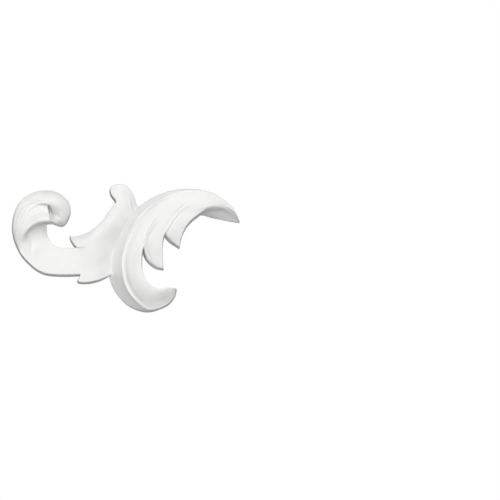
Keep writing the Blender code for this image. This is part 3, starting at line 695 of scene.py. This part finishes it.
def close_back(mesh):
    """Lays the open rim on the back plane and closes it with a flat back."""
    bm = bmesh.new()
    bm.from_mesh(mesh)
    for v in bm.verts:
        if v.is_boundary or v.co.y > -ON_BACK:
            v.co.y = 0
    bmesh.ops.remove_doubles(bm, verts=bm.verts, dist=ON_BACK)
    bmesh.ops.dissolve_degenerate(bm, edges=bm.edges, dist=NO_LENGTH)
    rim = [e for e in bm.edges if e.is_boundary]
    bmesh.ops.triangle_fill(bm, edges=rim, use_beauty=True, use_dissolve=False)
    bmesh.ops.recalc_face_normals(bm, faces=bm.faces)
    bmesh.ops.triangulate(bm, faces=bm.faces)
    bm.to_mesh(mesh)
    bm.free()
    mesh.validate()
    mesh.update()
    return mesh


def make_ornament():
    """The whole ornament as one closed fine mesh."""
    sheet, height = relief(PITCH / UNIT)
    height = scored(sheet, height)
    obj = bpy.data.objects.new("ornament_surface", face_mesh("ornament_surface", sheet, height))
    bpy.context.scene.collection.objects.link(obj)
    above_back = obj.vertex_groups.new(name="above_back")
    free = [v.index for v in obj.data.vertices if v.co.y < -FIRM_HEIGHT]
    above_back.add(free, 1.0, "REPLACE")
    smooth = obj.modifiers.new("Soften", "SMOOTH")
    smooth.factor = SOFTEN_FACTOR
    smooth.iterations = SOFTEN_ROUNDS
    smooth.vertex_group = "above_back"
    lighter = obj.modifiers.new("Lighter", "DECIMATE")
    lighter.ratio = min(FACES / max(len(obj.data.polygons), 1), 1)
    obj.data = close_back(applied(obj))
    obj.data.name = "ornament_surface"
    obj.vertex_groups.clear()
    obj.data.shade_smooth()
    obj.data.set_sharp_from_angle(angle=math.radians(SHARP_DEGREES))
    return obj


def link(tree, source, output, target, socket):
    """Joins two sockets of a node tree by their names or numbers."""
    tree.links.new(source.outputs[output], target.inputs[socket])


def noise(tree, place, scale, detail):
    """A noise over the object's own places."""
    node = tree.nodes.new("ShaderNodeTexNoise")
    node.inputs["Scale"].default_value = scale
    node.inputs["Detail"].default_value = detail
    link(tree, place, "Object", node, "Vector")
    return node


def bump(tree, source, strength, distance):
    """A bump from a noise."""
    node = tree.nodes.new("ShaderNodeBump")
    node.inputs["Strength"].default_value = strength
    node.inputs["Distance"].default_value = distance
    link(tree, source, "Fac", node, "Height")
    return node


def ranged(tree, span, values):
    """A node that maps one span of values to another."""
    node = tree.nodes.new("ShaderNodeMapRange")
    node.inputs["From Min"].default_value, node.inputs["From Max"].default_value = span
    node.inputs["To Min"].default_value, node.inputs["To Max"].default_value = values
    return node


def primed_white():
    """Satin-matte white primer over a casting: faint blotches in tone and sheen, and a fine spray texture."""
    material = bpy.data.materials.new("primed_white")
    material.use_nodes = True
    tree = material.node_tree
    shader = tree.nodes["Principled BSDF"]
    shader.inputs["Specular IOR Level"].default_value = GLOSS
    place = tree.nodes.new("ShaderNodeTexCoord")

    blotch = noise(tree, place, BLOTCH_SCALE, BLOTCH_DETAIL)
    tone = tree.nodes.new("ShaderNodeValToRGB")
    for element, (position, colour) in zip(tone.color_ramp.elements, BLOTCH_TONES):
        element.position = position
        element.color = colour
    link(tree, blotch, "Fac", tone, "Fac")
    link(tree, tone, "Color", shader, "Base Color")

    sheen = ranged(tree, SHEEN_SPAN, SHEEN_ROUGHNESS)
    link(tree, blotch, "Fac", sheen, "Value")
    link(tree, sheen, "Result", shader, "Roughness")

    spray = noise(tree, place, SPRAY_SCALE, SPRAY_DETAIL)
    waves = noise(tree, place, WAVE_SCALE, WAVE_DETAIL)
    fine = bump(tree, spray, SPRAY_STRENGTH, SPRAY_HEIGHT)
    coarse = bump(tree, waves, WAVE_STRENGTH, WAVE_HEIGHT)
    link(tree, fine, "Normal", coarse, "Normal")
    link(tree, coarse, "Normal", shader, "Normal")
    return material


def plain(name, colour, roughness):
    """A plain stage material."""
    material = bpy.data.materials.new(name)
    material.use_nodes = True
    shader = material.node_tree.nodes["Principled BSDF"]
    shader.inputs["Base Color"].default_value = (*colour, 1)
    shader.inputs["Roughness"].default_value = roughness
    return material


def make_floor():
    """Plain grey floor, well below the ornament, which hangs on a wall."""
    mesh = bpy.data.meshes.new("floor")
    low, high = -FLOOR_HALF, FLOOR_HALF
    corners = [(low, low), (high, low), (high, high), (low, high)]
    mesh.from_pydata([(x, y, FLOOR_LEVEL) for x, y in corners], [], [(0, 1, 2, 3)])
    floor = bpy.data.objects.new("floor", mesh)
    bpy.context.scene.collection.objects.link(floor)
    mesh.materials.append(plain("grey_floor", (FLOOR_TONE, FLOOR_TONE, FLOOR_TONE), FLOOR_ROUGHNESS))


def aim(obj, target):
    """Turns a camera or light to look at a point."""
    obj.rotation_euler = (Vector(target) - obj.location).to_track_quat("-Z", "Y").to_euler()


def area_light(name, place, target, size, watts):
    """A soft square light."""
    data = bpy.data.lights.new(name, "AREA")
    data.size = size
    data.energy = watts
    light = bpy.data.objects.new(name, data)
    light.location = place
    bpy.context.scene.collection.objects.link(light)
    aim(light, target)


def make_light():
    """White background for the camera, a soft sky that is dimmer from below, and soft square lights."""
    world = bpy.data.worlds.new("soft_room")
    bpy.context.scene.world = world
    world.use_nodes = True
    tree = world.node_tree
    tree.nodes.clear()
    out = tree.nodes.new("ShaderNodeOutputWorld")
    seen = tree.nodes.new("ShaderNodeBackground")
    seen.inputs["Color"].default_value = (1, 1, 1, 1)
    sky = tree.nodes.new("ShaderNodeBackground")
    place = tree.nodes.new("ShaderNodeTexCoord")
    split = tree.nodes.new("ShaderNodeSeparateXYZ")
    link(tree, place, "Generated", split, "Vector")
    brightness = ranged(tree, SKY_SPAN, (SKY_LOW, SKY_HIGH))
    link(tree, split, "Z", brightness, "Value")
    link(tree, brightness, "Result", sky, "Strength")
    ray = tree.nodes.new("ShaderNodeLightPath")
    mix = tree.nodes.new("ShaderNodeMixShader")
    link(tree, ray, "Is Camera Ray", mix, 0)
    link(tree, sky, 0, mix, 1)
    link(tree, seen, 0, mix, 2)
    link(tree, mix, 0, out, "Surface")
    for name, position, size, watts in LIGHTS:
        area_light(name, position, (0, 0, 0), size, watts)


def make_camera():
    """The photo's camera: almost square on, a little from the left and below, aimed right of the ornament."""
    frame_width = PHOTO_PIXELS / PIXELS_PER_METRE
    distance = CAMERA_LENS_MM / SENSOR_MM * frame_width
    centre = PHOTO_PIXELS / 2
    across, up = centre - ORIGIN_PIXEL[0], ORIGIN_PIXEL[1] - centre
    target = Vector((across, 0, up)) / PIXELS_PER_METRE
    tilt = math.radians(CAMERA_ELEVATION_DEGREES)
    turn = math.radians(CAMERA_AZIMUTH_DEGREES)
    data = bpy.data.cameras.new("camera")
    data.lens = CAMERA_LENS_MM
    data.sensor_width = SENSOR_MM
    data.clip_start = NEAREST_SEEN
    data.clip_end = FARTHEST_SEEN
    camera = bpy.data.objects.new("camera", data)
    away = Vector((math.sin(turn) * math.cos(tilt), -math.cos(turn) * math.cos(tilt), math.sin(tilt)))
    camera.location = target + distance * away
    bpy.context.scene.collection.objects.link(camera)
    aim(camera, target)
    bpy.context.scene.camera = camera


make_camera()
make_light()
make_floor()
ornament = make_ornament()
ornament.data.materials.clear()
ornament.data.materials.append(primed_white())
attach(ornament, "root")
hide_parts("scroll_ornament")
bpy.context.scene.view_settings.view_transform = "Standard"
